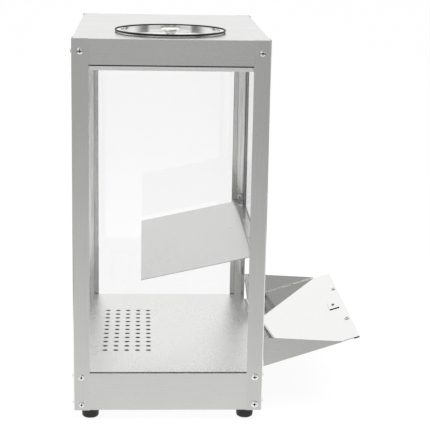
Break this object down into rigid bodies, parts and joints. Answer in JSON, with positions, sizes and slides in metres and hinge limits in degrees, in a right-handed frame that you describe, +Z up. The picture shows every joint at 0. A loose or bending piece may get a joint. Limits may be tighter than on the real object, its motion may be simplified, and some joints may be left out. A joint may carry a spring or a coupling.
{
  "type": "chip warmer",
  "caption": "Tall glazed cabinet that keeps chips warm: filled through a round lid on top, emptied through a tip-out front door, with a fan and heater under its perforated floor.",
  "frame": {"origin": "centre of the bottom of the box round the whole part, on the ground under the feet", "axes": "+Z up, the door opens towards -Y, +X is the right side as seen by someone at the door"},
  "size_m": [0.5148, 0.554, 0.7159],
  "materials": {
    "frame_steel": "brushed along its length",
    "glass": "clear and polished",
    "top_steel": "fine satin",
    "lid_steel": "polished, spun",
    "seal": "matte",
    "floor_steel": "polished",
    "door_steel": "polished",
    "handle_steel": "satin",
    "rubber": "matte",
    "bright_fixings": "plated",
    "dark_fixings": "plated",
    "hinge_steel": "satin",
    "catch_plastic": "moulded",
    "fan_plastic": "moulded",
    "motor_steel": "plain",
    "duct_steel": "galvanised",
    "heater_sheath": "heat darkened",
    "ceramic": "ceramic",
    "thermostat_plastic": "moulded",
    "switch_plastic": "moulded",
    "gland_plastic": "moulded"
  },
  "bodies": {
    "cabinet": {"post_front_left": "frame_steel", "post_front_right": "frame_steel", "post_rear_left": "frame_steel", "post_rear_right": "frame_steel", "glazing_angle_front_left": "frame_steel", "glazing_angle_front_right": "frame_steel", "glazing_angle_rear_left": "frame_steel", "glazing_angle_rear_right": "frame_steel", "top_liner": "frame_steel", "base_shell": "frame_steel", "bottom_plate": "frame_steel", "crossbar": "frame_steel", "window_left": "glass", "window_right": "glass", "window_rear": "glass", "window_front": "glass", "top_cover": "top_steel", "filler_ring": "top_steel", "floor_deck": "floor_steel", "baffle": "floor_steel", "foot_front_left": "rubber", "foot_front_right": "rubber", "foot_rear_left": "rubber", "foot_rear_right": "rubber", "post_screws": "bright_fixings", "frame_nuts": "bright_fixings", "baffle_screws": "bright_fixings", "catch_screws": "bright_fixings", "hinge_screws": "dark_fixings", "foot_screws": "dark_fixings", "foot_nuts": "dark_fixings", "fan_screws": "dark_fixings", "hinge_fixed_leaf": "hinge_steel", "hinge_pin": "hinge_steel", "magnet_catch": "catch_plastic", "fan_frame": "fan_plastic", "fan_motor": "motor_steel", "heater_duct": "duct_steel", "heater_clips": "duct_steel", "heater_element": "heater_sheath", "heater_bushings": "ceramic", "terminal_block": "ceramic", "limit_thermostat": "thermostat_plastic", "switch_housing": "switch_plastic", "cord_gland": "gland_plastic"},
    "door": {"door": "door_steel", "door_handle": "handle_steel", "handle_screws": "bright_fixings", "strike_plate": "door_steel", "strike_rivet": "dark_fixings", "hinge_door_leaf": "hinge_steel", "hinge_rivets": "dark_fixings"},
    "lid": {"lid": "lid_steel", "lid_seal": "seal", "lid_knob": "lid_steel", "lid_knob_screw": "bright_fixings"},
    "fan": {"fan_rotor": "fan_plastic"},
    "rocker": {"switch_rocker": "switch_plastic"}
  },
  "joints": [
    {"name": "door_hinge", "type": "hinge", "parent": "cabinet", "child": "door", "pos_m": [0, -0.08831, 0.0944], "axis": [-1, 0, 0], "range_deg": [0, 72]},
    {"name": "lid_lift", "type": "slide", "parent": "cabinet", "child": "lid", "axis": [0, 0, 1], "range_m": [0, 0.12]},
    {"name": "fan_spin", "type": "hinge", "parent": "cabinet", "child": "fan", "pos_m": [0, 0.16749, 0.029], "axis": [0, 0, 1], "continuous": true},
    {"name": "rocker_tilt", "type": "hinge", "parent": "cabinet", "child": "rocker", "pos_m": [0.15, 0.25899, 0.058], "axis": [-1, 0, 0], "range_deg": [0, 20]}
  ]
}
